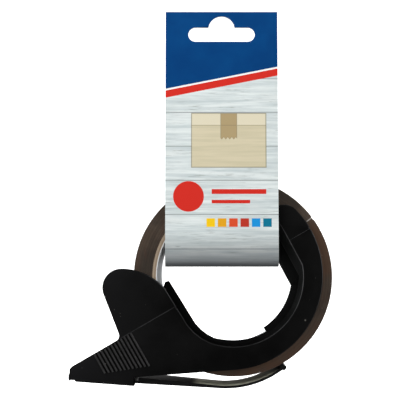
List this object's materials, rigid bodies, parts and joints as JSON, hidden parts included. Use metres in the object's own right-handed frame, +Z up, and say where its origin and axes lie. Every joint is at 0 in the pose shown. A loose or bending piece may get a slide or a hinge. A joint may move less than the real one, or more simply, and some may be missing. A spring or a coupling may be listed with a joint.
{
  "type": "packing tape dispenser",
  "caption": "Hand-held packing tape dispenser: black C-shaped frame clipped into a brown tape roll, with a toothed nose, a curved brake tongue and a printed hang card through the core.",
  "frame": {"origin": "on the roll's axis, halfway across the tape, where the fingers reach through the core", "axes": "+X from the nose to the back of the roll, +Y from the side plate to the roll's far face, +Z up to the hang card"},
  "size_m": [0.1307, 0.0562, 0.1875],
  "materials": {
    "black_plastic": "satin black moulded plastic",
    "blade_steel": "dark stamped steel strip",
    "core_board": "spiral wound grey-brown board",
    "liner_paper": "white inner ply",
    "brown_tape": "dark brown film, glossy outside and dull on the wound edge",
    "printed_card": "coated printed card with a dark blue header"
  },
  "bodies": {
    "frame": {"side_plate": "black_plastic", "hub_sleeve": "black_plastic", "nose_floor": "black_plastic", "cutting_blade": "blade_steel", "blade_rivets": "blade_steel"},
    "tongue": {"brake_tongue": "black_plastic"},
    "roll": {"tape_core": "core_board", "core_liner": "liner_paper", "tape_winding": "brown_tape", "outer_turn": "brown_tape"},
    "card": {"hang_card": "printed_card"}
  },
  "joints": [
    {"name": "roll_spin", "type": "hinge", "parent": "frame", "child": "roll", "pos_m": [0, 0, 0], "axis": [0, 1, 0], "continuous": true},
    {"name": "tongue_flex", "type": "hinge", "parent": "frame", "child": "tongue", "pos_m": [-0.0503, 0, -0.05176], "axis": [0, 1, 0], "range_deg": [0, 12], "stiffness_Nm_per_rad": 1},
    {"name": "card_lift", "type": "slide", "parent": "frame", "child": "card", "axis": [0, 0, 1], "range_m": [0, 0.003]}
  ]
}
